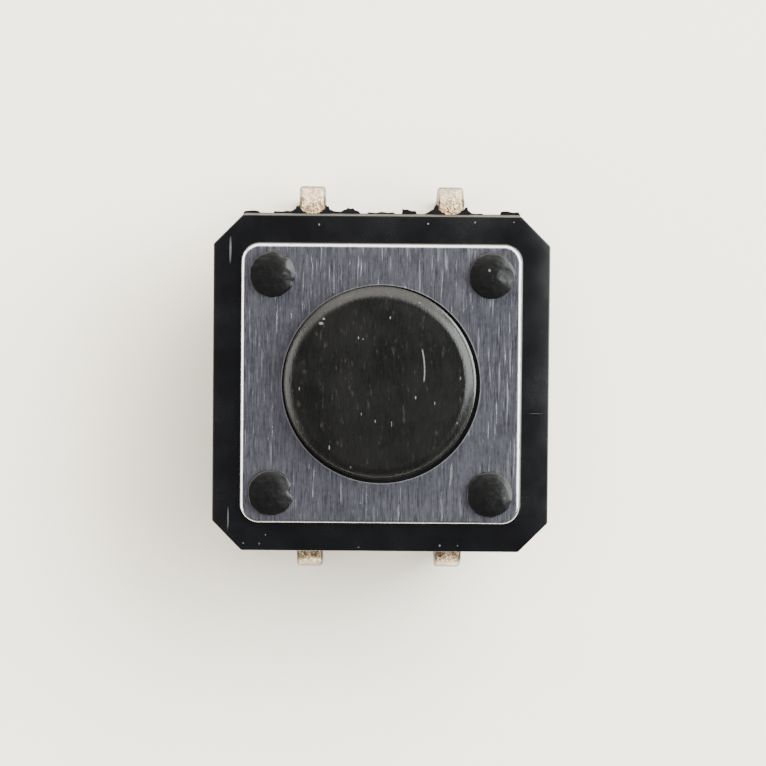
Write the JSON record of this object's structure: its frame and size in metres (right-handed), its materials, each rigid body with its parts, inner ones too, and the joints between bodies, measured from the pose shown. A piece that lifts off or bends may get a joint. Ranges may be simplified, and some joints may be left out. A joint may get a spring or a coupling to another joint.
{
  "type": "tactile push button switch",
  "caption": "Square through-hole momentary push button with a round plunger, a metal cover held by formed pegs, and kinked solder leads.",
  "frame": {"origin": "middle of the base's underside, which is the face that seats on a circuit board", "axes": "+Z out of the button, +X from the left terminal to the right one, +Y from one pair of lead tips to the other"},
  "size_m": [0.012, 0.0138, 0.0078],
  "materials": {
    "base_plastic": "satin black moulding",
    "cover_steel": "brushed along Y",
    "button_plastic": "satin, lightly scratched",
    "dome_steel": "bright spring steel",
    "tinned_metal": "dull tin plating"
  },
  "bodies": {
    "housing": {"base": "base_plastic", "cover": "cover_steel", "snap_dome": "dome_steel", "left_terminal": "tinned_metal", "right_terminal": "tinned_metal"},
    "button": {"button": "button_plastic"}
  },
  "joints": [
    {"name": "button_press", "type": "slide", "parent": "housing", "child": "button", "axis": [0, 0, -1], "range_m": [0, 0.0003], "stiffness_N_per_m": 5000, "deforming": ["snap_dome"]}
  ]
}
